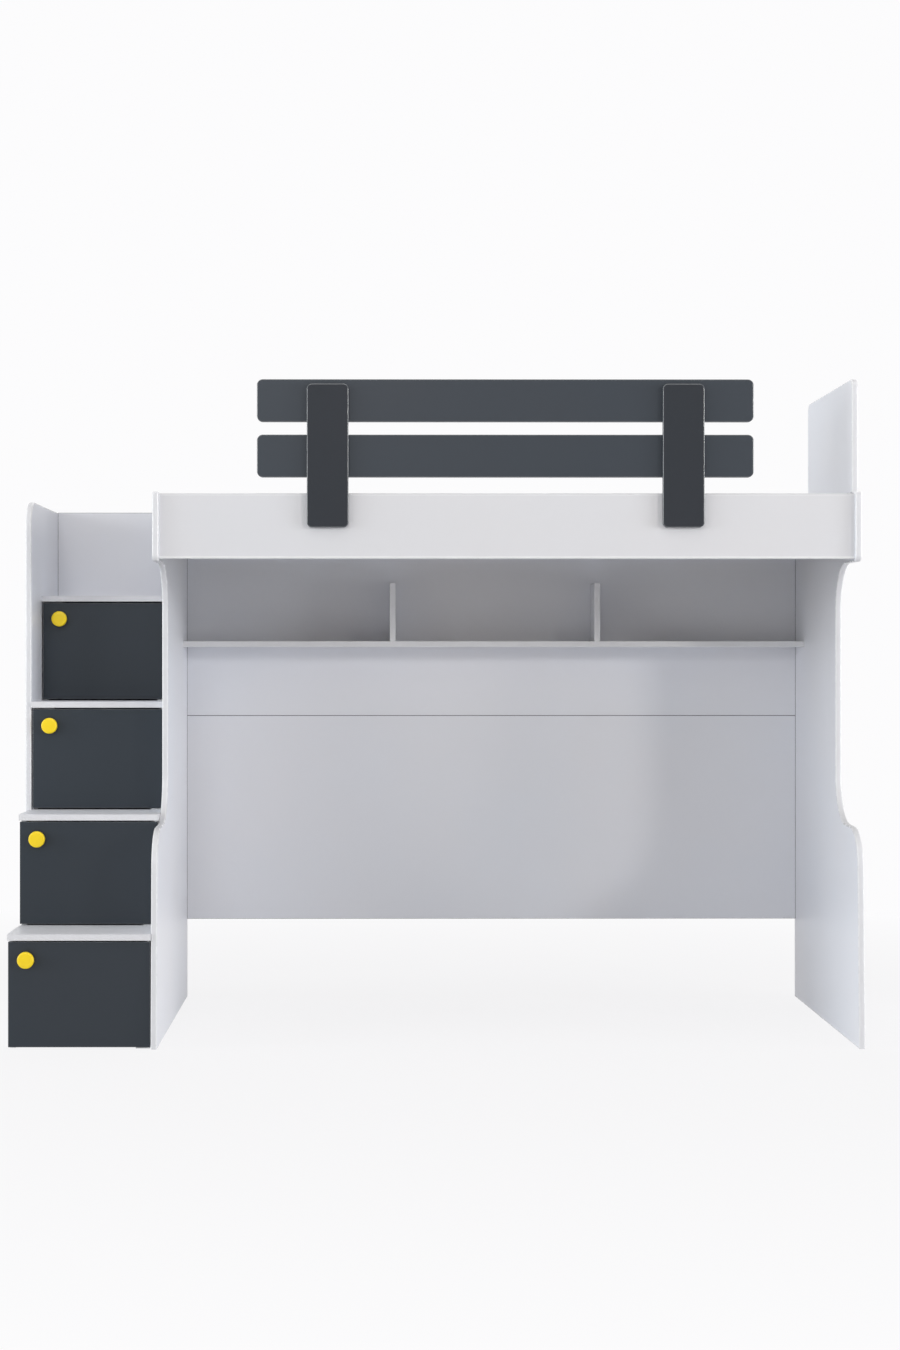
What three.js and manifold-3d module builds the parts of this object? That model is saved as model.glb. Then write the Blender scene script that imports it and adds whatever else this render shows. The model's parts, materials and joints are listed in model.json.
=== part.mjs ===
// High loft bed with a locker stair at its left end, in millimetres.
// X runs along the bed from left to right, Y from its front to the wall, Z up.
// While it is drawn, X starts at the left end panel's inner face and Y at the toes of the end panels.
// The finished group is moved so that its origin is under the middle of the whole bed.
import * as THREE from "three";
import { mergeVertices } from "three/addons/utils/BufferGeometryUtils.js";
import Module from "manifold-3d";

const wasm = await Module();
wasm.setup();

// Boards and the overall size
const board = 18;
const innerLength = 2010;
const bedDepth = 1000;
const panelTop = 1600;
const overrun = 10;

// End panels: a lower leg, a narrow waist and a deep top, cut from one board each
const legTopDepth = 24;
const legTopHeight = 624;
const waistDepth = 336;
const waistFootHeight = 634;
const noseDepth = 45;
const chinDrop = 8;
const legRadius = 110;
const kneeRadius = 140;
const shoulderRadius = 135;
const chinRadius = 18;
const browRadius = 8;

// Headboard: a board that stands on the right end panel's top edge
const headboardFront = 99;
const headboardWidth = 670;
const headboardHeight = 333;
const headboardRadius = 28;

// Bed box: rails, ledges, bearers and base boards
const railFront = 60;
const railDrop = 4;
const railHeight = 189;
const railEdgeRadius = 6;
const ledgeRise = 43;
const ledgeHeight = 40;
const ledgeThickness = 18;
const bearerWidth = 60;
const baseThickness = 12;
const baseGap = 1;
const baseBoardNames = ["left", "middle", "right"];

// Guard: two posts in front of the front rail carry two slats
const postWidth = 120;
const postLap = 100;
const postRise = 314;
const postSpacing = 1026;
const postRadius = 15;
const guardMiddle = 1000.5;
const slatLength = 1435;
const slatHeight = 123;
const slatGap = 37;
const slatAbovePost = 15;
const slatRadius = 17;

// Back panels and the shelf under the bed
const backBottom = 260;
const backJoint = 931;
const shelfDepth = 150;
const shelfDrop = 250;
const dividerHeight = 188;
const leftBayWidth = 669;
const rightBayWidth = 661;

// Stair: four lockers, each with a door, stepped from front to back.
// The tall side starts behind the open steps, which show the stepped side board.
const stepCount = 4;
const landingDrop = 284;
const firstDoorFront = 16;
const going = 206;
const openStepCount = 2;
const stairWidth = 408;
const nosing = 10;
const treadOverhang = 3;
const treadNotchLead = 20;
const floorClearance = 3;
const tallSideRadius = 80;

// Doors and their knobs
const doorThickness = 18;
const doorSideGap = 3;
const tallSideGap = 4.5;
const doorOverlap = 1.5;
const doorTopGap = 4.5;
const doorBottomGap = 4.5;
const knobRadius = 24;
const knobReach = 26;
const knobFromLeft = 53;
const knobFromTop = 50.5;
const knobFootRadius = 12;
const knobNeckRadius = 9;
const knobHeadThickness = 15;
const knobFootThickness = 3;
const knobRim = 5;

// Pivots: a pin and a bush above and below each door, near its front right corner
const pivotInset = 6;
const pinRadius = 2;
const bushRadius = 3.5;
const bushBoreRadius = 2.15;
const bushDepth = 12;
const upperBushDepth = 9;
const pivotFit = 0.15;
const pinEndGap = 0.5;
const flangeRadius = 5;
const flangeGap = 0.3;
const plateThickness = 2.5;
const plateWidth = 40;
const plateLength = 57;
const plateClearance = 1;

// Magnetic catches under the treads
const catchWidth = 46;
const catchDepth = 14;
const catchHeight = 12;
const catchChamfer = 3;
const catchGap = 0.5;
const catchSideGap = 4;

// Facets of a full turn
const arcSides = 64;
const knobSides = 32;
const pinSides = 16;

// Places that several pieces share
const innerBack = bedDepth - board;
const railBack = railFront + board;
const railTop = panelTop - railDrop;
const railBottom = railTop - railHeight;
const waistTopHeight = railBottom - chinDrop;
const postBottom = railTop - postLap;
const postTop = railTop + postRise;
const shelfBottom = railBottom - shelfDrop;
const shelfTop = shelfBottom + board;
const shelfFront = innerBack - shelfDepth;
const ledgeBottom = railBottom + ledgeRise;
const ledgeTop = ledgeBottom + ledgeHeight;
const stairRight = -board;
const stairLeft = stairRight - stairWidth;
const stairInnerRight = stairRight - board;
const stairInnerLeft = stairLeft + board;
const doorRight = stairRight - doorSideGap;
const pivotX = doorRight - pivotInset;
const riser = (panelTop - landingDrop) / stepCount;
const doorFront = (step) => firstDoorFront + (step - 1) * going;
const tallSideFront = doorFront(openStepCount + 1);
const carcassFront = (step) => doorFront(step) + treadNotchLead;
const treadTop = (step) => step * riser;
const treadBottom = (step) => treadTop(step) - board;
const doorBottom = (step) => treadTop(step - 1) + doorBottomGap;
const doorTop = (step) => treadBottom(step) - doorTopGap;
const coversSide = (step) => step <= openStepCount;
const doorLeft = (step) => (coversSide(step) ? stairLeft - doorOverlap : stairLeft + tallSideGap);
const pivotY = (step) => doorFront(step) + pivotInset;

// Materials
function whiteMelamine() {
  return new THREE.MeshStandardMaterial({ color: 0xe6e7ea, roughness: 0.42, metalness: 0 });
}
function anthraciteMelamine() {
  return new THREE.MeshStandardMaterial({ color: 0x40454c, roughness: 0.38, metalness: 0 });
}
function yellowPlastic() {
  return new THREE.MeshStandardMaterial({ color: 0xf6cf1e, roughness: 0.35, metalness: 0 });
}
function zincSteel() {
  return new THREE.MeshStandardMaterial({ color: 0xb4b7ba, roughness: 0.35, metalness: 1 });
}
function greyNylon() {
  return new THREE.MeshStandardMaterial({ color: 0xc9cbcc, roughness: 0.5, metalness: 0 });
}

// Axes: which world direction each direction of a flat drawing takes
const alongX = new THREE.Vector3(1, 0, 0);
const alongY = new THREE.Vector3(0, 1, 0);
const alongZ = new THREE.Vector3(0, 0, 1);
const towardFront = new THREE.Vector3(0, -1, 0);
const downward = new THREE.Vector3(0, 0, -1);
const sideView = new THREE.Matrix4().makeBasis(alongY, alongZ, alongX);
const frontView = new THREE.Matrix4().makeBasis(alongX, alongZ, towardFront);
const turnedUpright = new THREE.Matrix4().makeBasis(alongX, alongZ, towardFront);
const turnedToFront = new THREE.Matrix4().makeBasis(alongX, towardFront, downward);

// A closed outline from corners [across, up, radius], each radius laid in as an arc
function outline(corners) {
  const points = [];
  corners.forEach(([x, y, radius = 0], i) => {
    const corner = new THREE.Vector2(x, y);
    if (radius === 0) {
      points.push(corner);
      return;
    }
    const before = corners[(i + corners.length - 1) % corners.length];
    const after = corners[(i + 1) % corners.length];
    const back = new THREE.Vector2(before[0] - x, before[1] - y).normalize();
    const ahead = new THREE.Vector2(after[0] - x, after[1] - y).normalize();
    const half = Math.acos(back.dot(ahead)) / 2;
    const bisector = back.clone().add(ahead).normalize();
    const centre = corner.clone().addScaledVector(bisector, radius / Math.sin(half));
    const start = corner.clone().addScaledVector(back, radius / Math.tan(half)).sub(centre);
    const turn = Math.PI - 2 * half;
    const way = Math.sign(ahead.cross(back));
    const steps = Math.max(2, Math.ceil((arcSides * turn) / (2 * Math.PI)));
    for (let k = 0; k <= steps; k++) {
      const spoke = start.clone().rotateAround(new THREE.Vector2(), (way * turn * k) / steps);
      points.push(centre.clone().add(spoke));
    }
  });
  return new THREE.Shape(points);
}

function extruded(shape, thickness) {
  return new THREE.ExtrudeGeometry(shape, { depth: thickness, bevelEnabled: false });
}

// Meshes in their places
function piece(name, geometry, material, place = [0, 0, 0]) {
  const mesh = new THREE.Mesh(geometry, material);
  mesh.name = name;
  mesh.position.set(...place);
  return mesh;
}

function block(name, material, [x0, x1], [y0, y1], [z0, z1]) {
  const geometry = new THREE.BoxGeometry(x1 - x0, y1 - y0, z1 - z0);
  return piece(name, geometry, material, [(x0 + x1) / 2, (y0 + y1) / 2, (z0 + z1) / 2]);
}

// A board seen from the side, its outline in Y and Z, standing from x towards +X
function sideBoard(name, material, corners, x) {
  return piece(name, extruded(outline(corners), board).applyMatrix4(sideView), material, [x, 0, 0]);
}

// A board seen from the front, its outline in X and Z, with its front face at y
function frontBoard(name, material, corners, y) {
  const geometry = extruded(outline(corners), board).applyMatrix4(frontView);
  return piece(name, geometry, material, [0, y + board, 0]);
}

function rectangle(x0, x1, y0, y1, radius) {
  return [[x0, y0, radius], [x1, y0, radius], [x1, y1, radius], [x0, y1, radius]];
}

// Solids for cuts and joins
function toSolid(geometry) {
  const bare = geometry.clone();
  bare.deleteAttribute("normal");
  bare.deleteAttribute("uv");
  const merged = mergeVertices(bare);
  const corners = merged.index.array;
  const kept = [];
  for (let i = 0; i < corners.length; i += 3) {
    const [a, b, c] = corners.slice(i, i + 3);
    if (a !== b && b !== c && c !== a) kept.push(a, b, c);
  }
  return new wasm.Manifold(
    new wasm.Mesh({
      numProp: 3,
      vertProperties: merged.attributes.position.array,
      triVerts: new Uint32Array(kept),
    }),
  );
}

function toGeometry(solid) {
  const mesh = solid.getMesh();
  const geometry = new THREE.BufferGeometry();
  geometry.setAttribute("position", new THREE.BufferAttribute(mesh.vertProperties, 3));
  geometry.setIndex(new THREE.BufferAttribute(mesh.triVerts, 1));
  const faceted = geometry.toNonIndexed();
  faceted.computeVertexNormals();
  return faceted;
}

// An upright round bar for a hole or a pin
function upright(radius, x, y, z0, z1) {
  const geometry = new THREE.CylinderGeometry(radius, radius, z1 - z0, pinSides);
  return geometry.applyMatrix4(turnedUpright).translate(x, y, (z0 + z1) / 2);
}

function turned(profile, sides, turnedTo) {
  const points = profile.map(([radius, height]) => new THREE.Vector2(radius, height));
  return new THREE.LatheGeometry(points, sides).applyMatrix4(turnedTo);
}

// The bed's end panels share one outline, from the toe upwards and back along the wall
function endPanelCorners() {
  return [
    [0, 0],
    [legTopDepth, legTopHeight, legRadius],
    [waistDepth, waistFootHeight, kneeRadius],
    [waistDepth, waistTopHeight, shoulderRadius],
    [noseDepth, waistTopHeight, chinRadius],
    [noseDepth, panelTop, browRadius],
    [bedDepth, panelTop],
    [bedDepth, 0],
  ].reverse();
}

function endPanels() {
  return [
    sideBoard("left_end_panel", whiteMelamine(), endPanelCorners(), -board),
    sideBoard("right_end_panel", whiteMelamine(), endPanelCorners(), innerLength),
  ];
}

function headboard() {
  const back = headboardFront + headboardWidth;
  const top = panelTop + headboardHeight;
  const corners = [
    [headboardFront, panelTop],
    [back, panelTop],
    [back, top, headboardRadius],
    [headboardFront, top, headboardRadius],
  ];
  return sideBoard("headboard_panel", whiteMelamine(), corners, innerLength);
}

// The front rail's two front edges are rounded
function frontRail() {
  const corners = [
    [railFront, railBottom, railEdgeRadius],
    [railBack, railBottom],
    [railBack, railTop],
    [railFront, railTop, railEdgeRadius],
  ];
  const geometry = extruded(outline(corners), innerLength).applyMatrix4(sideView);
  return piece("front_rail_board", geometry, whiteMelamine());
}

function bedBox() {
  const along = [0, innerLength];
  const ledgeSpan = [ledgeBottom, ledgeTop];
  const frontLedgeBack = railBack + ledgeThickness;
  const backLedgeFront = innerBack - ledgeThickness;
  const pieces = [
    frontRail(),
    block("back_rail_board", whiteMelamine(), along, [innerBack, bedDepth], [ledgeBottom, railTop]),
    block("front_ledge", whiteMelamine(), along, [railBack, frontLedgeBack], ledgeSpan),
    block("back_ledge", whiteMelamine(), along, [backLedgeFront, innerBack], ledgeSpan),
  ];
  const baseLength = innerLength / baseBoardNames.length;
  baseBoardNames.forEach((name, i) => {
    const x = [i * baseLength + baseGap, (i + 1) * baseLength - baseGap];
    const y = [railBack + baseGap, innerBack - baseGap];
    const z = [ledgeTop, ledgeTop + baseThickness];
    pieces.push(block("base_board_" + name, whiteMelamine(), x, y, z));
  });
  ["left", "right"].forEach((name, i) => {
    const middle = (i + 1) * baseLength;
    const x = [middle - bearerWidth / 2, middle + bearerWidth / 2];
    pieces.push(
      block("cross_bearer_" + name, whiteMelamine(), x, [frontLedgeBack, backLedgeFront], ledgeSpan),
    );
  });
  return pieces;
}

function guard() {
  const postFront = railFront - board;
  const slatsTop = postTop + slatAbovePost;
  const pieces = [];
  [["left", -1], ["right", 1]].forEach(([name, side]) => {
    const middle = guardMiddle + (side * postSpacing) / 2;
    const corners = rectangle(
      middle - postWidth / 2,
      middle + postWidth / 2,
      postBottom,
      postTop,
      postRadius,
    );
    pieces.push(frontBoard("guard_post_" + name, anthraciteMelamine(), corners, postFront));
  });
  ["upper", "lower"].forEach((name, i) => {
    const top = slatsTop - i * (slatHeight + slatGap);
    const corners = rectangle(
      guardMiddle - slatLength / 2,
      guardMiddle + slatLength / 2,
      top - slatHeight,
      top,
      slatRadius,
    );
    pieces.push(frontBoard("guard_slat_" + name, anthraciteMelamine(), corners, railFront));
  });
  return pieces;
}

function backAndShelf() {
  const along = [0, innerLength];
  const behind = [innerBack, bedDepth];
  const shelfY = [shelfFront, innerBack];
  const dividerZ = [shelfTop, shelfTop + dividerHeight];
  const rightDivider = innerLength - rightBayWidth;
  return [
    block("back_panel_lower", whiteMelamine(), along, behind, [backBottom, backJoint]),
    block("back_panel_upper", whiteMelamine(), along, behind, [backJoint, ledgeBottom]),
    block("shelf_board", whiteMelamine(), along, shelfY, [shelfBottom, shelfTop]),
    block(
      "shelf_divider_left",
      whiteMelamine(),
      [leftBayWidth, leftBayWidth + board],
      shelfY,
      dividerZ,
    ),
    block(
      "shelf_divider_right",
      whiteMelamine(),
      [rightDivider - board, rightDivider],
      shelfY,
      dividerZ,
    ),
  ];
}

// Each stepped side is one board whose front climbs by one riser at every door
function stairSideCorners() {
  const corners = [
    [innerBack, treadBottom(stepCount)],
    [innerBack, 0],
    [carcassFront(1), 0],
  ];
  for (let step = 1; step <= stepCount; step++) {
    corners.push([carcassFront(step), treadBottom(step)]);
    if (step < stepCount) corners.push([carcassFront(step + 1), treadBottom(step)]);
  }
  return corners.reverse();
}

function tallSide() {
  const corners = [
    [tallSideFront, 0],
    [bedDepth, 0],
    [bedDepth, panelTop],
    [tallSideFront, panelTop, tallSideRadius],
  ];
  return sideBoard("stair_tall_side", whiteMelamine(), corners, stairLeft - board);
}

// A tread covers its own step at full width and runs back between the sides as a locker floor.
// The lowest two also overhang the left side as far as the next door.
function treadCorners(step) {
  const front = doorFront(step) - nosing;
  if (step === stepCount) {
    return [
      [stairLeft, front],
      [stairRight, front],
      [stairRight, innerBack],
      [stairLeft, innerBack],
    ];
  }
  const next = carcassFront(step + 1);
  const left = [
    [stairInnerLeft, innerBack],
    [stairInnerLeft, next],
    [stairLeft, next],
  ];
  if (coversSide(step)) {
    left.push(
      [stairLeft, doorFront(step + 1)],
      [stairLeft - treadOverhang, doorFront(step + 1)],
      [stairLeft - treadOverhang, front],
    );
  } else {
    left.push([stairLeft, front]);
  }
  return [
    [stairRight, front],
    [stairRight, next],
    [stairInnerRight, next],
    [stairInnerRight, innerBack],
    ...left,
  ];
}

function tread(step) {
  const whole = extruded(outline(treadCorners(step)), board).translate(0, 0, treadBottom(step));
  const hole = upright(
    bushRadius + pivotFit,
    pivotX,
    pivotY(step),
    treadBottom(step) - overrun,
    treadBottom(step) + upperBushDepth + pinEndGap,
  );
  const geometry = toGeometry(toSolid(whole).subtract(toSolid(hole)));
  return piece("tread_" + step, geometry, whiteMelamine());
}

function stair() {
  const pieces = [
    sideBoard("stair_side_left", whiteMelamine(), stairSideCorners(), stairLeft),
    sideBoard("stair_side_right", whiteMelamine(), stairSideCorners(), stairInnerRight),
    tallSide(),
    block(
      "stair_back_panel",
      whiteMelamine(),
      [stairLeft, stairRight],
      [innerBack, bedDepth],
      [0, panelTop],
    ),
    block(
      "locker_floor",
      whiteMelamine(),
      [stairInnerLeft, stairInnerRight],
      [carcassFront(1), innerBack],
      [floorClearance, floorClearance + board],
    ),
  ];
  for (let step = 1; step <= stepCount; step++) pieces.push(tread(step));
  return pieces;
}

// A door is bored from below for its bush and from above for its pin
function door(step) {
  const width = doorRight - doorLeft(step);
  const height = doorTop(step) - doorBottom(step);
  const whole = new THREE.BoxGeometry(width, doorThickness, height).translate(
    (doorLeft(step) + doorRight) / 2,
    doorFront(step) + doorThickness / 2,
    (doorBottom(step) + doorTop(step)) / 2,
  );
  const bore = bushRadius + pivotFit;
  const y = pivotY(step);
  const depth = bushDepth + pinEndGap;
  const low = upright(bore, pivotX, y, doorBottom(step) - overrun, doorBottom(step) + depth);
  const high = upright(bore, pivotX, y, doorTop(step) - depth, doorTop(step) + overrun);
  const solid = toSolid(whole).subtract(toSolid(low)).subtract(toSolid(high));
  return piece("door_" + step, toGeometry(solid), anthraciteMelamine());
}

// The knob: a small foot on the door, a neck and a thick round head with soft rims
function knob(step) {
  const headStart = knobReach - knobHeadThickness;
  const rimSteps = 3;
  const profile = [
    [0, 0],
    [knobFootRadius, 0],
    [knobFootRadius, knobFootThickness],
    [knobNeckRadius, knobFootThickness + knobFootThickness],
    [knobNeckRadius, headStart],
  ];
  for (let k = 0; k <= rimSteps; k++) {
    const angle = (-Math.PI / 2) * (1 - k / rimSteps);
    profile.push([
      knobRadius - knobRim + knobRim * Math.cos(angle),
      headStart + knobRim + knobRim * Math.sin(angle),
    ]);
  }
  for (let k = 0; k <= rimSteps; k++) {
    const angle = ((Math.PI / 2) * k) / rimSteps;
    profile.push([
      knobRadius - knobRim + knobRim * Math.cos(angle),
      knobReach - knobRim + knobRim * Math.sin(angle),
    ]);
  }
  profile.push([0, knobReach]);
  const place = [doorLeft(step) + knobFromLeft, doorFront(step), doorTop(step) - knobFromTop];
  return piece("knob_" + step, turned(profile, knobSides, turnedToFront), yellowPlastic(), place);
}

// The plate under a door: a tab below the door's corner and a tail inside the locker, with its pin.
// The lowest one is fixed under the locker floor, and the others lie on the tread below.
function pivotPlate(step) {
  const x0 = doorRight - plateClearance - plateWidth;
  const x1 = doorRight - plateClearance;
  const inside = stairInnerRight - plateClearance;
  const front = doorFront(step) + plateClearance;
  const bend = carcassFront(step) - plateClearance;
  const corners = [
    [x0, front],
    [x1, front],
    [x1, bend],
    [inside, bend],
    [inside, front + plateLength],
    [x0, front + plateLength],
  ];
  const under = step === 1 ? floorClearance - plateThickness : treadTop(step - 1);
  const plate = extruded(outline(corners), plateThickness).translate(0, 0, under);
  const pinTop = doorBottom(step) + bushDepth - pinEndGap;
  const pin = upright(pinRadius, pivotX, pivotY(step), under + plateThickness / 2, pinTop);
  const geometry = toGeometry(toSolid(plate).add(toSolid(pin)));
  return piece("pivot_plate_" + step, geometry, zincSteel());
}

// The flanged bush in the door's lower end, which carries the door on its plate
function lowerBush(step) {
  const plateTop = (step === 1 ? floorClearance : treadTop(step - 1) + plateThickness) + flangeGap;
  const flange = doorBottom(step) - plateTop;
  const profile = [
    [bushBoreRadius, -flange],
    [flangeRadius, -flange],
    [flangeRadius, 0],
    [bushRadius, 0],
    [bushRadius, bushDepth],
    [bushBoreRadius, bushDepth],
    [bushBoreRadius, -flange],
  ];
  const place = [pivotX, pivotY(step), doorBottom(step)];
  return piece("lower_bush_" + step, turned(profile, pinSides, turnedUpright), greyNylon(), place);
}

// The pin in the door's upper end, a thick shank in the door and a thin tip in the tread
function upperPin(step) {
  const tip = doorTopGap + upperBushDepth - pinEndGap;
  const profile = [
    [0, -bushDepth],
    [bushRadius, -bushDepth],
    [bushRadius, 0],
    [pinRadius, 0],
    [pinRadius, tip],
    [0, tip],
  ];
  const place = [pivotX, pivotY(step), doorTop(step)];
  return piece("upper_pin_" + step, turned(profile, pinSides, turnedUpright), zincSteel(), place);
}

function upperBush(step) {
  const profile = [
    [bushBoreRadius, 0],
    [bushRadius, 0],
    [bushRadius, upperBushDepth],
    [bushBoreRadius, upperBushDepth],
    [bushBoreRadius, 0],
  ];
  const place = [pivotX, pivotY(step), treadBottom(step)];
  return piece("upper_bush_" + step, turned(profile, pinSides, turnedUpright), greyNylon(), place);
}

// The catch under a tread, just behind the door's upper left corner, with its lower edges chamfered
function doorCatch(step) {
  const y0 = doorFront(step) + doorThickness + catchGap;
  const y1 = y0 + catchDepth;
  const z0 = treadBottom(step) - catchHeight;
  const corners = [
    [y0, z0 + catchChamfer],
    [y0 + catchChamfer, z0],
    [y1, z0],
    [y1, treadBottom(step)],
    [y0, treadBottom(step)],
  ];
  const geometry = extruded(outline(corners), catchWidth).applyMatrix4(sideView);
  return piece("door_catch_" + step, geometry, greyNylon(), [stairInnerLeft + catchSideGap, 0, 0]);
}

const bed = new THREE.Group();
bed.add(...endPanels(), headboard(), ...bedBox(), ...guard(), ...backAndShelf(), ...stair());
for (let step = 1; step <= stepCount; step++) {
  const locker = new THREE.Group();
  locker.add(door(step), knob(step), pivotPlate(step), lowerBush(step));
  locker.add(upperPin(step), upperBush(step), doorCatch(step));
  bed.add(locker);
}

// The origin goes under the middle of the whole bed, from the tall side to the right end panel
// and from the lowest knob, which reaches past the toes, to the wall
const leftmost = stairLeft - board;
const rightmost = innerLength + board;
const frontmost = firstDoorFront - knobReach;
bed.position.set(-(leftmost + rightmost) / 2, -(frontmost + bedDepth) / 2, 0);

const part = new THREE.Group();
part.add(bed);
export default part;
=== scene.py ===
# %% [markdown]
# A high loft bed with a stair of four lockers at its left end, finished in Blender.
# The construction is done already: every board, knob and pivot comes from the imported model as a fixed
# frame, in metres, with X along the bed, Y towards the wall and Z up. This file never moves a board. It
# gives each one the eased edges, bands and surface that the real board has, and lights it as in a studio.

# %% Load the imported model
import json
import math

import bmesh
import bpy
from mathutils import Matrix, Vector


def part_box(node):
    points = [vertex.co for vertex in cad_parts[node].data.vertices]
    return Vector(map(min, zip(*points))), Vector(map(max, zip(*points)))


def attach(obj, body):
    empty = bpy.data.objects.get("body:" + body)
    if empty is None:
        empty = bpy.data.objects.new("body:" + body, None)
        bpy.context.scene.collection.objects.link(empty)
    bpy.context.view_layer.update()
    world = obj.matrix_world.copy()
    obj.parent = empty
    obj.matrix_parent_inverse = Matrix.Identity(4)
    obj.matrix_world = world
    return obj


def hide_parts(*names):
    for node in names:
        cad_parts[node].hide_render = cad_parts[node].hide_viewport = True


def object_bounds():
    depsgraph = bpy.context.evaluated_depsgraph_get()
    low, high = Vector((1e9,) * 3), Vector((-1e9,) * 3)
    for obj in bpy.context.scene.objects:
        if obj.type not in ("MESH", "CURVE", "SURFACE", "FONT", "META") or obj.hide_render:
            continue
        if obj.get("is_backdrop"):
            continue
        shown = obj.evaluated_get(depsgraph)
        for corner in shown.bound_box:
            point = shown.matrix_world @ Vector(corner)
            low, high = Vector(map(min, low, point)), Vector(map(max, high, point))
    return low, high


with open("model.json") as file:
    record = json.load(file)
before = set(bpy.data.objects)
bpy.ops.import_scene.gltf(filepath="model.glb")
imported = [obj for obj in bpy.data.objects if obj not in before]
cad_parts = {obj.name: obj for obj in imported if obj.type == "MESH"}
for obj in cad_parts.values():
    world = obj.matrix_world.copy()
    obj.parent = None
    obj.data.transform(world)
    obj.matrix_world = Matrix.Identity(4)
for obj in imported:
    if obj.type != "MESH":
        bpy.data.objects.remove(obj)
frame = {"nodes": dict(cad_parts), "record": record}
cad_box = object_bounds()
bed_low, bed_high = cad_box
size_words = " x ".join(f"{high - low:.3f}" for low, high in zip(bed_low, bed_high))
print(f"{len(frame['nodes'])} pieces, {size_words} m")

# %% [markdown]
# The camera stands in front of the bed, a little left of its middle, at the height of a child's chest.
# It looks level, because every upright board is upright in the picture too. A level camera would put the
# bed too low in the frame, so the lens is shifted, as an architecture photographer does it, instead of
# tilted. The focal length is the one that gives a 900 x 1350 picture its field of view on a 36 mm sensor.

# %% The camera
FOCAL_LENGTH = 59.2
CAMERA_PLACE = (-0.1433, -6.844, 1.1142)
CAMERA_TURN = math.radians(0.2234)
CAMERA_SHIFT = (0.04276, -0.01112)

lens = bpy.data.cameras.new("studio_camera")
lens.lens = FOCAL_LENGTH
lens.shift_x, lens.shift_y = CAMERA_SHIFT
camera = bpy.data.objects.new("studio_camera", lens)
camera.location = CAMERA_PLACE
camera.rotation_euler = (math.pi / 2, 0, -CAMERA_TURN)
bpy.context.scene.collection.objects.link(camera)
bpy.context.scene.camera = camera
bpy.context.scene.view_settings.view_transform = "Standard"
print(f"camera {(bed_low.y - camera.location.y):.2f} m in front of the bed")

# %% [markdown]
# Materials in Blender are graphs of nodes. Written node by node they are long and hard to read, so one
# small class wraps a node's output: sums and products of such outputs add Math nodes by themselves, and
# any other node comes from the method `node`, which takes its type, its settings and its inputs.


# %% A node's output that can be reckoned with
class Wire:
    """One output inside a node tree. Arithmetic on it adds Math nodes."""

    def __init__(self, tree, socket=None):
        self.tree = tree
        self.socket = socket

    def node(self, kind, settings=None, inputs=None, output=0):
        """Adds a node, sets it up, feeds its inputs and returns one of its outputs."""
        made = self.tree.nodes.new("ShaderNode" + kind)
        for name, value in (settings or {}).items():
            if name == "stops":
                set_stops(made.color_ramp, value)
            else:
                setattr(made, name, value)
        for name, value in (inputs or {}).items():
            if isinstance(value, Wire):
                self.tree.links.new(value.socket, made.inputs[name])
            else:
                made.inputs[name].default_value = value
        return Wire(self.tree, made.outputs[output] if made.outputs else None)

    def maths(self, operation, first, second=0.0):
        return self.node("Math", {"operation": operation}, {0: first, 1: second})

    def mixed(self, share, first, second):
        """A colour between two others."""
        inputs = {0: share, 6: first, 7: second}
        return self.node("Mix", {"data_type": "RGBA"}, inputs, output=2)

    def __add__(self, other):
        return self.maths("ADD", self, other)

    def __sub__(self, other):
        return self.maths("SUBTRACT", self, other)

    def __rsub__(self, other):
        return self.maths("SUBTRACT", other, self)

    def __mul__(self, other):
        return self.maths("MULTIPLY", self, other)

    def __truediv__(self, other):
        return self.maths("DIVIDE", self, other)

    def __rtruediv__(self, other):
        return self.maths("DIVIDE", other, self)

    def at_least(self, other):
        return self.maths("MAXIMUM", self, other)

    __radd__ = __add__
    __rmul__ = __mul__


def set_stops(ramp, stops):
    """Fills a colour ramp with (place, grey) stops."""
    while len(ramp.elements) < len(stops):
        ramp.elements.new(1.0)
    for element, (place, grey) in zip(ramp.elements, stops):
        element.position = place
        element.color = (grey, grey, grey, 1.0)


def paint(red, green, blue):
    """A colour given as a paint chart gives it, from 0 to 255, in the linear values that nodes use."""
    shares = (value / 255 for value in (red, green, blue))
    return tuple(((s + 0.055) / 1.055) ** 2.4 if s > 0.04045 else s / 12.92 for s in shares) + (1.0,)


def finish(name):
    """A new material. Returns it with its empty tree, wrapped."""
    material = bpy.data.materials.new(name)
    material.use_nodes = True
    material.node_tree.nodes.clear()
    return material, Wire(material.node_tree)


def surfaced(tree, **inputs):
    """Ends a material in the usual shader, whose input names are written with underscores."""
    named = {name.replace("_", " "): value for name, value in inputs.items()}
    shader = tree.node("BsdfPrincipled", {}, named)
    tree.node("OutputMaterial", {}, {"Surface": shader})


# %% [markdown]
# White melamine is paper soaked in resin and pressed onto chipboard. From a step away it is an even cool
# white. Close up it has a fine pearl texture from the press plate, which breaks up its reflections, and
# over a whole board the tone drifts a little between a warmer and a bluer white. Noise at two scales gives
# both. The pattern is laid out in metres from the object's own coordinates, so it has the same grain on
# a long board as on a short one and needs no unwrapping. The front rail's white is painted slightly greyer
# than the rest, which is painted shade. The guard's slats are a slightly paler anthracite than the doors,
# and its posts a slightly deeper and duller one.

# %% White and anthracite melamine
PEARL_PER_METRE = 900
PEARL_DEPTH = 0.00004
PEARL_STRENGTH = 0.35
PEARL_STOPS = [(0.3, 0.0), (0.7, 1.0)]
DRIFT_PER_METRE = 1.3
DRIFT_STOPS = [(0.35, 0.0), (0.65, 1.0)]
NOISE_MIDDLE = 0.5


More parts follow.
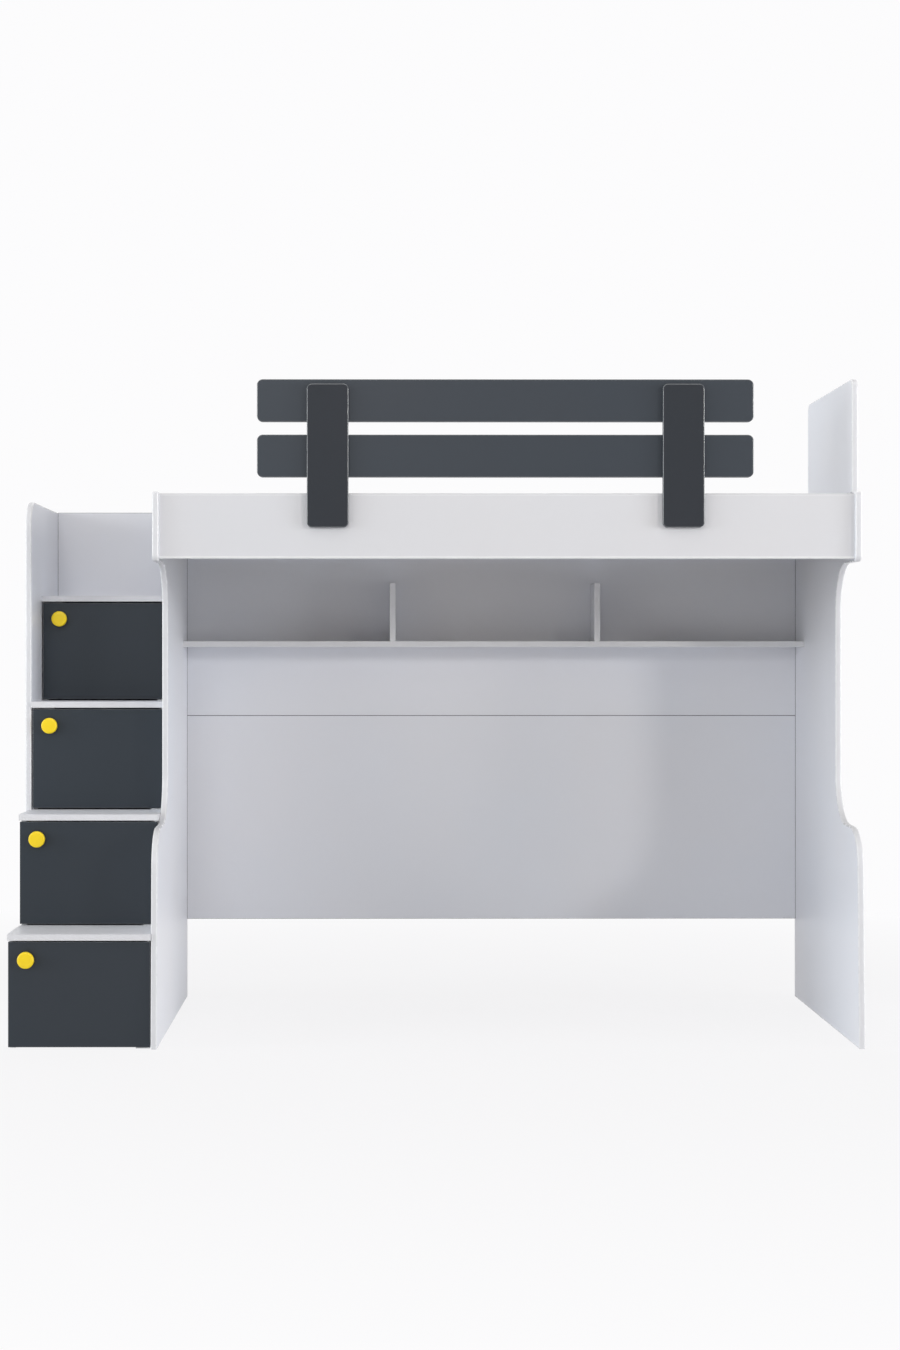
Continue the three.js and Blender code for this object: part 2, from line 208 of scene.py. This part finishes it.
def melamine(name, tone, other_tone, roughness, sheen_spread, reflection, texture):
    """Two close tones that drift over the board, under a fine pearl that darkens it by `texture`."""
    material, tree = finish(name)
    place = tree.node("TexCoord", output="Object")
    drift = tree.node("TexNoise", {}, {"Vector": place, "Scale": DRIFT_PER_METRE, "Detail": 3.0})
    pearl = tree.node("TexNoise", {}, {"Vector": place, "Scale": PEARL_PER_METRE, "Detail": 2.0})
    fleck = tree.node("ValToRGB", {"stops": PEARL_STOPS}, {"Fac": pearl})
    share = tree.node("ValToRGB", {"stops": DRIFT_STOPS}, {"Fac": drift})
    colour = tree.mixed(share, paint(*tone), paint(*other_tone))
    darker = tuple(value * (1 - texture) for value in tone)
    colour = tree.mixed(fleck * texture, colour, paint(*darker))
    relief_inputs = {"Height": pearl, "Strength": PEARL_STRENGTH, "Distance": PEARL_DEPTH}
    relief = tree.node("Bump", {}, relief_inputs)
    surfaced(
        tree,
        Base_Color=colour,
        Roughness=roughness + (pearl - NOISE_MIDDLE) * sheen_spread + (drift - NOISE_MIDDLE) * sheen_spread,
        Specular_IOR_Level=reflection,
        Normal=relief,
    )
    return material


white_board = melamine("white_melamine", (231, 232, 237), (229, 232, 239), 0.42, 0.08, 0.5, 0.04)
# The rail's greyer white is painted shade, not a greyer sheet.
rail_board_painted_shade = melamine("white_rail_melamine_painted_shade", (220, 220, 223), (219, 220, 224), 0.42, 0.08, 0.5, 0.04)
dark_board = melamine("anthracite_melamine", (47, 53, 60), (44, 52, 60), 0.40, 0.08, 0.30, 0.12)
slat_board = melamine("anthracite_slat_melamine", (55, 60, 67), (52, 59, 67), 0.40, 0.08, 0.35, 0.10)
post_board = melamine("anthracite_post_melamine", (44, 47, 53), (42, 46, 52), 0.46, 0.08, 0.25, 0.10)
print("melamine: pearl of", round(1000 / PEARL_PER_METRE, 2), "mm")

# %% [markdown]
# A board's cut sides are closed with a strip of ABS plastic, glued on hot and milled flush. The strip is a
# shade apart from the melamine and a little glossier, and a hairline of glue runs along it on both faces.
# Where the mill has rounded the strip's corner the plastic is scraped to a gloss, and the rounding is also
# painted lighter than the strip: a painted highlight along every edge. Strip, hairline and rounding are
# faces of their own, each with a material.
# The end panels, the headboard and the stair's tall side are rounded more softly than the other boards,
# with a thicker strip painted a shade darker, which is painted shade, and the treads have that strip too.

# %% Edge bands and the glue line beside them
BAND_WAVES_PER_METRE = 40
BAND_WAVE_DEPTH = 0.0001
BAND_WAVE_STRENGTH = 0.15
BAND_SHEEN_SPREAD = 0.1
BAND_DULLING = 0.97
GLUE_GAPS_PER_METRE = 120.0
GLUE_CLEANING = 1.12
GLUE_ROUGHNESS = 0.7


def edge_band(name, tone, roughness, reflection):
    """A plastic strip with the long faint waves that the milling cutter leaves."""
    material, tree = finish(name)
    place = tree.node("TexCoord", output="Object")
    waves = tree.node("TexNoise", {}, {"Vector": place, "Scale": BAND_WAVES_PER_METRE, "Detail": 1.0})
    dull = tuple(value * BAND_DULLING for value in tone)
    relief_inputs = {"Height": waves, "Strength": BAND_WAVE_STRENGTH, "Distance": BAND_WAVE_DEPTH}
    relief = tree.node("Bump", {}, relief_inputs)
    surfaced(
        tree,
        Base_Color=tree.mixed(waves, paint(*tone), paint(*dull)),
        Roughness=roughness + waves * BAND_SHEEN_SPREAD,
        Specular_IOR_Level=reflection,
        Normal=relief,
    )
    return material


def glue_line(name, tone):
    """Dried glue, paler where the joint was wiped clean."""
    material, tree = finish(name)
    place = tree.node("TexCoord", output="Object")
    gaps = tree.node("TexNoise", {}, {"Vector": place, "Scale": GLUE_GAPS_PER_METRE, "Detail": 2.0})
    clean = tuple(value * GLUE_CLEANING for value in tone)
    surfaced(tree, Base_Color=tree.mixed(gaps, paint(*tone), paint(*clean)), Roughness=GLUE_ROUGHNESS)
    return material


white_band = edge_band("white_edge_band", (231, 232, 235), 0.3, 0.5)
# Each rounded edge is painted lighter than its band: a painted highlight on top of its real gloss.
white_rounding_painted_highlight = edge_band("white_rounded_edge_painted_highlight", (248, 249, 250), 0.14, 0.7)
# The soft band is painted a shade darker than the melamine: painted shade.
soft_band_painted_shade = edge_band("white_soft_band_painted_shade", (226, 227, 231), 0.30, 0.5)
soft_rounding_painted_highlight = edge_band("white_soft_edge_painted_highlight", (236, 237, 240), 0.22, 0.6)
dark_band = edge_band("anthracite_edge_band", (52, 57, 63), 0.28, 0.5)
dark_rounding_painted_highlight = edge_band("anthracite_rounded_edge_painted_highlight", (84, 88, 93), 0.14, 0.9)
white_glue = glue_line("white_glue_line", (196, 197, 200))
dark_glue = glue_line("anthracite_glue_line", (34, 36, 40))

# %% [markdown]
# Two raw surfaces belong to the boards as well. The base boards are faced with melamine above only, and
# their underside is bare fibreboard, a dull brown grey that swallows light under the bed. The back panels
# have no band: their eased edges are painted dark grey, partly as the bare core where the melamine ends and
# partly as painted shade in their joints.

# %% Bare fibreboard
FIBRES_PER_METRE = 350
FIBRE_DEPTH = 0.0001
FIBRE_STRENGTH = 0.4
FIBRE_SHARE = 0.7
FIBRE_STOPS = [(0.3, 0.0), (0.7, 1.0)]
CLOUDS_PER_METRE = 4.0
FIBRE_ROUGHNESS = 0.75
FIBRE_SHEEN_SPREAD = 0.15
FIBRE_REFLECTION = 0.3


def fibreboard(name, tone, other_tone):
    """Pressed fibres in two tones, with larger clouds between them."""
    material, tree = finish(name)
    place = tree.node("TexCoord", output="Object")
    fibres = tree.node("TexNoise", {}, {"Vector": place, "Scale": FIBRES_PER_METRE, "Detail": 4.0})
    clouds = tree.node("TexNoise", {}, {"Vector": place, "Scale": CLOUDS_PER_METRE, "Detail": 2.0})
    mottle = fibres * FIBRE_SHARE + clouds * (1 - FIBRE_SHARE)
    share = tree.node("ValToRGB", {"stops": FIBRE_STOPS}, {"Fac": mottle})
    relief_inputs = {"Height": fibres, "Strength": FIBRE_STRENGTH, "Distance": FIBRE_DEPTH}
    relief = tree.node("Bump", {}, relief_inputs)
    surfaced(
        tree,
        Base_Color=tree.mixed(share, paint(*tone), paint(*other_tone)),
        Roughness=FIBRE_ROUGHNESS + fibres * FIBRE_SHEEN_SPREAD,
        Specular_IOR_Level=FIBRE_REFLECTION,
        Normal=relief,
    )
    return material


bare_underside = fibreboard("bare_fibreboard", (128, 118, 105), (112, 103, 92))
# Painted on every eased edge of the back panels: bare core and painted joint shade.
bare_core_and_joint_shade = fibreboard("bare_core_and_painted_joint_shade", (96, 95, 96), (78, 77, 78))
print("fibres of", round(1000 / FIBRES_PER_METRE, 1), "mm")

# %% [markdown]
# The knobs are yellow injection-moulded plastic, the pivots zinc-plated steel and the bushes and catches
# light grey nylon. Moulded plastic is glossy with a very slight unevenness. Zinc has fine crystals that
# change its roughness from spot to spot, and nylon is duller and softly mottled.

# %% Plastic, steel and nylon
MOULD_DEPTH = 0.00005
MOULD_STRENGTH = 0.1
MOULD_SHEEN_SPREAD = 0.1
COAT_ROUGHNESS = 0.12
CRYSTALS_PER_METRE = 700.0
ZINC_ROUGHNESS = 0.26
ZINC_SHEEN_SPREAD = 0.2


def moulded(name, tone, roughness, mottle_per_metre, mottle, coat):
    """Plastic from a mould: one tone that its mottle darkens a little, and a gloss coat."""
    material, tree = finish(name)
    place = tree.node("TexCoord", output="Object")
    spots = tree.node("TexNoise", {}, {"Vector": place, "Scale": mottle_per_metre, "Detail": 3.0})
    deep = tuple(value * (1 - mottle) for value in tone)
    relief_inputs = {"Height": spots, "Strength": MOULD_STRENGTH, "Distance": MOULD_DEPTH}
    relief = tree.node("Bump", {}, relief_inputs)
    surfaced(
        tree,
        Base_Color=tree.mixed(spots, paint(*tone), paint(*deep)),
        Roughness=roughness + (spots - NOISE_MIDDLE) * MOULD_SHEEN_SPREAD,
        Coat_Weight=coat,
        Coat_Roughness=COAT_ROUGHNESS,
        Normal=relief,
    )
    return material


def zinc_plate(name):
    """Zinc on steel, brighter and duller from crystal to crystal."""
    material, tree = finish(name)
    place = tree.node("TexCoord", output="Object")
    cells = {"Vector": place, "Scale": CRYSTALS_PER_METRE}
    crystals = tree.node("TexVoronoi", {}, cells, output="Distance")
    surfaced(
        tree,
        Base_Color=tree.mixed(crystals, paint(206, 208, 210), paint(188, 190, 192)),
        Metallic=1.0,
        Roughness=ZINC_ROUGHNESS + crystals * ZINC_SHEEN_SPREAD,
    )
    return material


yellow_plastic = moulded("yellow_plastic", (255, 221, 6), 0.36, 260.0, 0.03, 0.15)
grey_nylon = moulded("grey_nylon", (203, 205, 207), 0.5, 500.0, 0.05, 0.0)
zinc_steel = zinc_plate("zinc_steel")

# %% [markdown]
# A board is copied from the frame, where it is made of triangles, and its flat faces are joined again.
# The two largest faces are then inset twice: the outer ring is the top of the edge band, and the next,
# very thin ring is the glue line. A Bevel modifier eases the sharp edges as the band cutter does, and
# weighted normals keep the large faces flat in the light while the eased edges catch it, helped on most
# boards by a finish painted lighter, a painted highlight. The front rail comes with its large rounding
# already cut. There the lower rounding has the scraped gloss of a band and its painted highlight, and the
# upper one stays melamine. The base boards are bare below.

# %% Boards with bands and eased edges
# Each edge is the width of its band as seen from the face, and the radius of its rounding.
THIN_EDGE = (0.0012, 0.0010)
THICK_EDGE = (0.0024, 0.0022)
SOFT_EDGE = (0.0042, 0.0038)
GLUE_THICKNESS = 0.0002
FLAT_ANGLE = math.radians(1.0)
SHARP_ANGLE = math.radians(40.0)
FLAT_SHARE = 0.9999
WELD_DISTANCE = 0.00001
FEWEST_SEGMENTS = 3
SEGMENTS_PER_METRE = 1000
FACE, BAND, GLUE, ROUNDING, BARE = range(5)


def copied(node):
    """The node's mesh with its flat faces joined, as a bmesh."""
    shape = bmesh.new()
    shape.from_mesh(frame["nodes"][node].data)
    bmesh.ops.remove_doubles(shape, verts=shape.verts, dist=WELD_DISTANCE)
    bmesh.ops.dissolve_limit(shape, angle_limit=FLAT_ANGLE, verts=shape.verts, edges=shape.edges)
    return shape


def made(name, shape, materials, slot, body, *nodes):
    """Turns a bmesh into a smooth piece that rides on a body and may stand for CAD nodes."""
    for face in shape.faces:
        face.smooth = True
    mesh = bpy.data.meshes.new(name)
    shape.to_mesh(mesh)
    shape.free()
    for material in materials:
        mesh.materials.append(material)
    piece = bpy.data.objects.new(name, mesh)
    bpy.context.scene.collection.objects.link(piece)
    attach(piece, body)
    if nodes:
        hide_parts(*nodes)
    return piece


def ease(piece, radius, segments, finish_index=-1):
    """Rounds the sharp edges, in a finish of their own if one is named."""
    bevel = piece.modifiers.new("eased_edges", "BEVEL")
    bevel.width = radius
    bevel.segments = segments
    # The rounding faces get the finish at finish_index: painted highlight on most boards, painted joint
    # shade on the back panels.
    bevel.material = finish_index
    bevel.limit_method = "ANGLE"
    bevel.angle_limit = SHARP_ANGLE
    weights = piece.modifiers.new("flat_faces", "WEIGHTED_NORMAL")
    weights.keep_sharp = False
    return piece


def board(node, body, slot, finishes, band, radius):
    """A board: its two faces, its cut sides, a glue line between them and the rounded corners."""
    shape = copied(node)
    flat = {axis: [face for face in shape.faces if abs(face.normal[axis]) > FLAT_SHARE] for axis in range(3)}
    sides = max(flat.values(), key=lambda faces: sum(face.calc_area() for face in faces))
    for face in shape.faces:
        face.material_index = FACE if face in sides else BAND
    # The rail's lower rounding gets the lighter rounding finish, a painted highlight; the upper one keeps
    # the melamine.
    if node == "front_rail_board":
        for face in shape.faces:
            if max(abs(value) for value in face.normal) < FLAT_SHARE:
                face.material_index = ROUNDING if face.normal.z < 0 else FACE
    for width, index in ((band, BAND), (GLUE_THICKNESS, GLUE)):
        rings = bmesh.ops.inset_individual(shape, faces=sides, thickness=width, use_even_offset=True)
        for face in rings["faces"]:
            face.material_index = index
    if bare_underside in finishes:
        for face in shape.faces:
            if face.normal.z < -FLAT_SHARE:
                face.material_index = BARE
    piece = made(node + "_finished", shape, finishes, slot, body, node)
    return ease(piece, radius, max(FEWEST_SEGMENTS, round(radius * SEGMENTS_PER_METRE)), ROUNDING)


# %% [markdown]
# Now each board of the frame gets its kind, which its name tells. The doors, posts and slats are
# anthracite and the rest is white. The back panels' eased edges are bare core and painted joint shade,
# and the base boards are bare below. The guard's boards are thick and have a broader band, and the boards
# that a child leans on, the end panels, the headboard and the stair's tall side, have the soft edge. A loop
# over the names is shorter than a call for each board, and a board that is added to the frame is finished
# by itself.

# %% Which board gets which finish
WHITE = ("white_melamine", (white_board, white_band, white_glue, white_rounding_painted_highlight))
SOFT = ("white_melamine", (white_board, soft_band_painted_shade, white_glue, soft_rounding_painted_highlight))
RAIL = ("white_melamine", (rail_board_painted_shade, white_band, white_glue, white_rounding_painted_highlight))
# The treads take the darker soft band, painted shade along their front edges.
STEP = ("white_melamine", (white_board, soft_band_painted_shade, white_glue, white_rounding_painted_highlight))
# Back panels: eased edges in bare core and painted joint shade.
BACK = ("white_melamine", (white_board, white_band, white_glue, bare_core_and_joint_shade))
BASE = ("white_melamine", (white_board, white_band, white_glue, white_rounding_painted_highlight, bare_underside))
DARK = ("anthracite_melamine", (dark_board, dark_band, dark_glue, dark_rounding_painted_highlight))
SLAT = ("anthracite_melamine", (slat_board, dark_band, dark_glue, dark_rounding_painted_highlight))
POST = ("anthracite_melamine", (post_board, dark_band, dark_glue, dark_rounding_painted_highlight))
bodies = frame["record"]["behaviour"]["bodies"]
small_kinds = ("pivot_plate", "upper_bush", "door_catch")
soft_edged = ("left_end_panel", "right_end_panel", "headboard_panel", "stair_tall_side")
counts = {}
for node in bodies["frame"]:
    if node.startswith(small_kinds):
        continue
    kind, edge = WHITE, THIN_EDGE
    if "back_panel" in node:
        kind = BACK
    if node.startswith("base_board"):
        kind = BASE
    if node == "front_rail_board":
        kind = RAIL
    if node.startswith("tread_"):
        kind = STEP
    if node.startswith("guard_"):
        kind, edge = SLAT if "slat" in node else POST, THICK_EDGE
    if node in soft_edged:
        kind, edge = SOFT, SOFT_EDGE
    board(node, "frame", *kind, *edge)
    counts[kind[0]] = counts.get(kind[0], 0) + 1
steps = range(1, 5)
for step in steps:
    board(f"door_{step}", f"door_{step}", *DARK, *THIN_EDGE)
print("boards:", counts, "and", len(steps), "doors")

# %% [markdown]
# A knob is turned: a profile, drawn as a radius at each distance from the door, goes once round an axis.
# The head has a soft rim at front and back and a face that is crowned by a fraction of a millimetre, so
# that it doesn't mirror the studio like a flat plate.

# %% Knobs
KNOB_SIDES = 96
KNOB_HEAD = 0.015
KNOB_CROWN = 0.0006
KNOB_RIM = 0.0045
RIM_STEPS = 8
CROWN_START = 84
CROWN_STEPS = (0.75, 0.5, 0.25)
CROWN_WIDTH = 0.8
CROWN_SLOPE = 0.9
FOOT_SHARE = 0.5
FOOT_HEIGHT = 0.003
NECK_SHARE = 0.375
NECK_START = 0.006
EASED = 0.0005
FILLET = 0.0008


def turned(profile, sides):
    """Spins (radius, height) points round the Z axis into a closed bmesh."""
    shape = bmesh.new()
    rings = []
    for radius, height in profile:
        if radius == 0:
            rings.append([shape.verts.new((0, 0, height))])
            continue
        angles = (2 * math.pi * side / sides for side in range(sides))
        rings.append([
            shape.verts.new((radius * math.cos(a), radius * math.sin(a), height)) for a in angles
        ])
    for low, high in zip(rings, rings[1:]):
        for side in range(sides):
            after = (side + 1) % sides
            corners = [low[side % len(low)], low[after % len(low)]]
            corners += [high[after % len(high)], high[side % len(high)]]
            shape.faces.new(list(dict.fromkeys(corners)))
    bmesh.ops.recalc_face_normals(shape, faces=shape.faces)
    return shape


def quarter(centre_radius, centre_height, size, start, end):
    """Points of a rounded rim between two angles in degrees."""
    for k in range(RIM_STEPS + 1):
        angle = math.radians(start + (end - start) * k / RIM_STEPS)
        yield centre_radius + size * math.cos(angle), centre_height + size * math.sin(angle)


def knob_profile(radius, reach):
    """The knob's outline from the door outwards, as (radius, distance) points."""
    head = reach - KNOB_HEAD
    foot, neck = radius * FOOT_SHARE, radius * NECK_SHARE
    points = [(0, 0), (foot - EASED, 0), (foot, EASED)]
    points += [(foot, FOOT_HEIGHT - EASED), (foot - EASED, FOOT_HEIGHT)]
    points += [(neck + 2 * EASED, NECK_START - 3 * EASED), (neck, NECK_START)]
    points += [(neck, head - FILLET), (neck + FILLET, head)]
    points += quarter(radius - KNOB_RIM, head + KNOB_RIM, KNOB_RIM, -90, 0)
    points += quarter(radius - KNOB_RIM, reach - KNOB_CROWN - KNOB_RIM, KNOB_RIM, 0, CROWN_START)
    for k in CROWN_STEPS:
        points.append((radius * k * CROWN_WIDTH, reach - KNOB_CROWN * (CROWN_SLOPE * k) ** 2))
    return points + [(0, reach)]


for step in steps:
    low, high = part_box(f"knob_{step}")
    middle = (low + high) / 2
    shape = turned(knob_profile((high.x - low.x) / 2, high.y - low.y), KNOB_SIDES)
    towards_front = Matrix.Rotation(math.pi / 2, 4, "X")
    shape.transform(Matrix.Translation((middle.x, high.y, middle.z)) @ towards_front)
    made(f"turned_knob_{step}", shape, [yellow_plastic], "yellow_plastic", f"door_{step}", f"knob_{step}")
print("knobs:", round((high.x - low.x) * 1000), "mm across")

# %% [markdown]
# The hidden hardware shows when a door is open: a plate with a pin under each door, bushes, an upper pin
# and a magnetic catch. They keep the shapes of the frame, with edges eased by the punch or the mould.

# %% Pivots and catches
PUNCHED_EDGE = 0.0002
BUSH_EDGE = 0.00015
CATCH_EDGE = 0.0006
SMALL_SEGMENTS = 2
for step in steps:
    hardware = [
        (f"pivot_plate_{step}", "frame", zinc_steel, "zinc_steel", PUNCHED_EDGE),
        (f"upper_bush_{step}", "frame", grey_nylon, "grey_nylon", BUSH_EDGE),
        (f"door_catch_{step}", "frame", grey_nylon, "grey_nylon", CATCH_EDGE),
        (f"lower_bush_{step}", f"door_{step}", grey_nylon, "grey_nylon", BUSH_EDGE),
        (f"upper_pin_{step}", f"door_{step}", zinc_steel, "zinc_steel", PUNCHED_EDGE),
    ]
    for node, body, material, slot, radius in hardware:
        piece = made(node + "_finished", copied(node), [material], slot, body, node)
        ease(piece, radius, SMALL_SEGMENTS)
print("hardware pieces:", len(hardware) * len(steps))

# %% [markdown]
# The studio has a pale floor that runs out of sight. Camera rays see it almost white, mixed with what it
# really receives, so that the bed's soft shadow stays on it. Light for the bed itself comes from the
# lamps, from a weak even sky and from the floor, which throws it up under the bed box.

# %% Floor
FLOOR_REACH = 40.0
FLOOR_CELLS = 8
FLOOR_GRAIN_PER_METRE = 60.0
SHADOW_REACH = 3.5
FLOOR_SHARE_NEAR = 0.85
FLOOR_SHARE_FAR = 1.0
BACKGROUND = (0.975, 0.972, 0.98, 1.0)


def seen_directly(tree):
    """1 on rays that come from the camera, a mirror or a lens, and 0 on rays that carry light."""
    camera_ray = tree.node("LightPath", output="Is Camera Ray")
    glossy_ray = tree.node("LightPath", output="Is Glossy Ray")
    passing_ray = tree.node("LightPath", output="Is Transmission Ray")
    return camera_ray.at_least(glossy_ray).at_least(passing_ray)


material, tree = finish("studio_floor")
place = tree.node("TexCoord", output="Object")
distance = tree.node("VectorMath", {"operation": "LENGTH"}, {0: place}, output="Value")
far = tree.node("Math", {"operation": "MINIMUM"}, {0: distance / SHADOW_REACH, 1: 1.0})
share = FLOOR_SHARE_NEAR + far * far * (FLOOR_SHARE_FAR - FLOOR_SHARE_NEAR)
grain = tree.node("TexNoise", {}, {"Vector": place, "Scale": FLOOR_GRAIN_PER_METRE})
tint = tree.mixed(grain, paint(224, 224, 227), paint(229, 229, 231))
received = tree.node("BsdfDiffuse", {}, {"Color": tint})
shown = tree.node("Emission", {}, {"Color": BACKGROUND, "Strength": 1.0})
both = tree.node("MixShader", {}, {0: share * seen_directly(tree), 1: received, 2: shown})
tree.node("OutputMaterial", {}, {"Surface": both})

shape = bmesh.new()
bmesh.ops.create_grid(shape, x_segments=FLOOR_CELLS, y_segments=FLOOR_CELLS, size=FLOOR_REACH)
mesh = bpy.data.meshes.new("studio_floor")
shape.to_mesh(mesh)
shape.free()
mesh.materials.append(material)
floor = bpy.data.objects.new("studio_floor", mesh)
bpy.context.scene.collection.objects.link(floor)
floor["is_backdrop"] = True

# %% [markdown]
# Shadow edges tell where a photographer's lamps stood. The toe of the left end panel draws one on the
# second door and the waist of the right end panel draws one on the back panel, and both point back to a
# lamp 42 degrees to the right. A faint strip at the back panel's left end tells of a lamp in front, a
# little to the left. Wide soft boxes at the sides brighten the middle without an edge of their own. The
# inner faces of the end panels are nearly as bright as the front rail, so two screens stand almost beside
# the bed, far out, where they don't burn out the outer faces. The rest is a plain sky and three faint
# lights: one high at the left for the headboard, one above, and one behind that draws the upper edges.

# %% Lamps and sky
SKY_STRENGTH = 0.295
SKY_COLOUR = (1.0, 0.95, 0.92, 1.0)
AIM = Vector((0.0, 0.0, 1.0))


def lamp(name, azimuth, distance, height, size, brightness, tint):
    """A square lamp that faces the bed.

    The azimuth is in degrees to the right of the front, the height is above the floor, and the brightness
    is what a white board square to the lamp shows of it, from 0 to 1.
    """
    light = bpy.data.lights.new(name, "AREA")
    light.shape = "SQUARE"
    light.size = size
    angle = math.radians(azimuth)
    place = Vector((math.sin(angle) * distance, -math.cos(angle) * distance, height))
    light.energy = brightness * math.pi**2 * (place - AIM).length_squared
    light.color = tint
    lit = bpy.data.objects.new(name, light)
    lit.location = place
    lit.rotation_euler = (AIM - place).to_track_quat("-Z", "Y").to_euler()
    lit.visible_camera = False
    bpy.context.scene.collection.objects.link(lit)
    print(f"{name}: {azimuth} degrees, {brightness}")


PLAIN = (0.96, 0.98, 1.0)
COOL = (0.93, 0.98, 1.0)
WARM = (1.0, 0.97, 0.93)
lamp("front_lamp", -11, 10.0, 4.6, 1.6, 0.085, PLAIN)
lamp("right_lamp", 42, 10.0, 3.2, 1.2, 0.14, WARM)
lamp("left_lamp", -48, 9.0, 2.5, 1.8, 0.05, WARM)
lamp("right_softbox", 68, 9.0, 1.7, 3.0, 0.29, PLAIN)
lamp("left_softbox", -61, 9.0, 2.3, 3.6, 0.12, COOL)
lamp("right_screen", 79, 12.0, 2.0, 3.8, 0.18, PLAIN)
lamp("left_screen", -78, 12.0, 2.0, 3.8, 0.29, COOL)
lamp("high_left_screen", -80, 8.0, 7.0, 3.4, 0.12, COOL)
lamp("top_screen", 0, 1.5, 4.8, 4.0, 0.27, WARM)
lamp("back_screen", 180, 5.0, 6.5, 3.0, 0.12, PLAIN)

world = bpy.data.worlds.new("studio")
world.use_nodes = True
world.node_tree.nodes.clear()
bpy.context.scene.world = world
tree = Wire(world.node_tree)
sky = tree.node("Background", {}, {"Color": SKY_COLOUR, "Strength": SKY_STRENGTH})
backdrop = tree.node("Background", {}, {"Color": BACKGROUND, "Strength": 1.0})
both = tree.node("MixShader", {}, {0: seen_directly(tree), 1: sky, 2: backdrop})
tree.node("OutputWorld", {}, {"Surface": both})

# %% [markdown]
# The dressed bed may not be larger than the boards it is built around. Its box is compared with theirs,
# and the largest growth past them is printed.

# %% Compare the sizes and finish
visual_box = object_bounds()
growth = max(max(a - b for a, b in zip(cad_box[0], visual_box[0])), max(visual_box[1] - cad_box[1]))
print(f"largest growth past the frame: {growth * 1000:.3f} mm")
